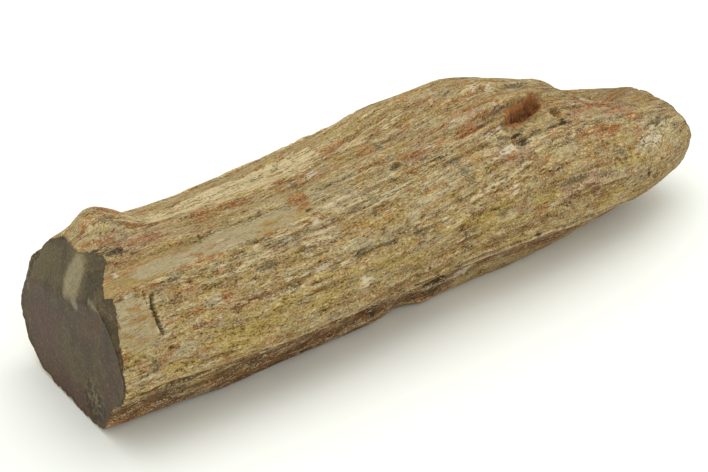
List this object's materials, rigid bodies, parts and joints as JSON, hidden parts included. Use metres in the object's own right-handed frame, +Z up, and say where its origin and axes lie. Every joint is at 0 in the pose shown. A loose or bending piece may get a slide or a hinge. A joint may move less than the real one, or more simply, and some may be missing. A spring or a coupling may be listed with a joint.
{
  "type": "petrified wood log",
  "caption": "Length of a tree limb turned to stone, lying on its side, with a flat broken end, a tapered end, and weathered ridges and splits along the grain.",
  "frame": {"origin": "on the surface the log rests on, under the middle of its bounding box", "axes": "+X along the grain, from the flat broken end to the tapered end; +Y from the front, with its undercut flank, to the back; +Z up"},
  "size_m": [0.34, 0.1026, 0.0826],
  "materials": {
    "petrified_wood": "dull silicified wood: tan and ochre streaks along the grain, rust and grey patches, chalky specks, dark grey-brown on the flat end"
  },
  "bodies": {
    "root": {"petrified_log": "petrified_wood"}
  },
  "joints": []
}
